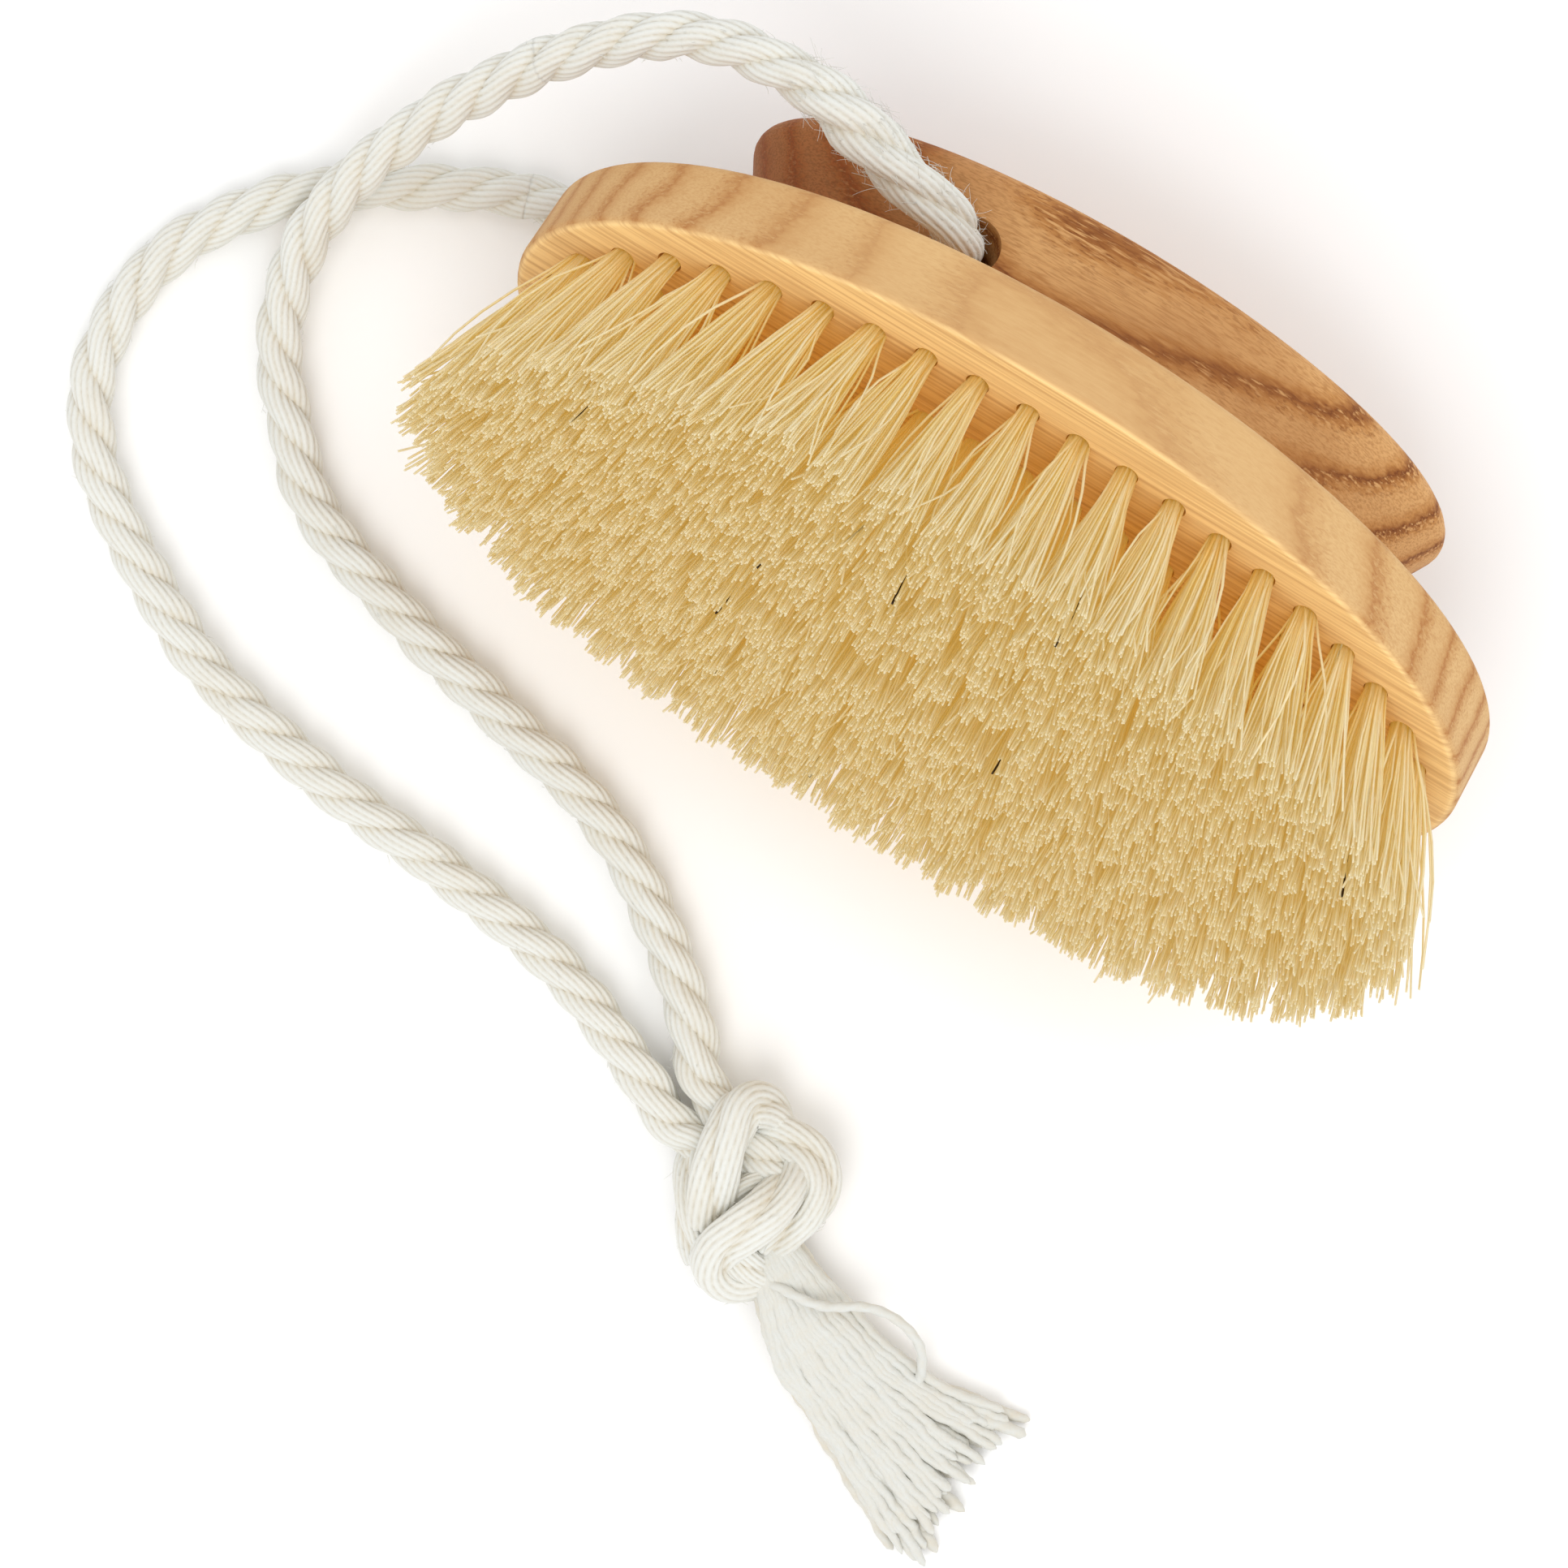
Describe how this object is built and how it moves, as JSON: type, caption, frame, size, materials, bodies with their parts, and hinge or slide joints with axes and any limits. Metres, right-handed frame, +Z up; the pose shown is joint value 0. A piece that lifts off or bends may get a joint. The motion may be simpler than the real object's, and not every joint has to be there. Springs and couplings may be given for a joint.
{
  "type": "body dry brush",
  "caption": "Oval wooden body dry brush with splayed natural bristle tufts, an undercut oval grip and a knotted cotton rope loop ending in a frayed tassel.",
  "frame": {"origin": "on the table, straight below the middle of the block's back face, with the brush lying on its side", "axes": "+X along the oval block, +Z up from the table, +Y from the bristles towards the grip"},
  "size_m": [0.1793, 0.1504, 0.0766],
  "materials": {
    "block_wood": "fine sanded, unvarnished",
    "grip_wood": "fine sanded, oiled",
    "dowel_wood": "raw",
    "bristles": "natural plant fibre",
    "anchor_metal": "flattened wire",
    "rope": "twisted unbleached cotton",
    "yarn": "loose cotton yarn"
  },
  "bodies": {
    "brush": {"brush_block": "block_wood", "grip": "grip_wood", "grip_dowels": "dowel_wood", "bristle_ring_1": "bristles", "bristle_ring_2": "bristles", "bristle_ring_3": "bristles", "bristle_ring_4": "bristles", "bristle_ring_5": "bristles", "tuft_anchors_1": "anchor_metal", "tuft_anchors_2": "anchor_metal", "tuft_anchors_3": "anchor_metal", "tuft_anchors_4": "anchor_metal", "tuft_anchors_5": "anchor_metal", "rope_in_grip": "rope"},
    "upper_loop": {"rope_upper_near": "rope", "rope_upper_far": "rope"},
    "lower_loop": {"rope_lower_near": "rope", "rope_lower_far": "rope", "rope_knot": "rope"},
    "tassel": {"tassel_end_near": "yarn", "tassel_end_far": "yarn", "tassel_stray_yarn": "yarn"}
  },
  "joints": [
    {"name": "rope_swing", "type": "hinge", "parent": "brush", "child": "upper_loop", "pos_m": [-0.02, 0.01158, 0.02264], "axis": [0, -0.5145, -0.8575], "range_deg": [-15, 120]},
    {"name": "loop_fold", "type": "hinge", "parent": "upper_loop", "child": "lower_loop", "pos_m": [-0.082, -0.04, 0.003], "axis": [0.7828, 0.6222, 0], "range_deg": [-60, 45]},
    {"name": "tassel_swing", "type": "hinge", "parent": "lower_loop", "child": "tassel", "pos_m": [0.026, -0.098, 0.0045], "axis": [0.309, 0.9511, 0], "range_deg": [-40, 40]}
  ]
}
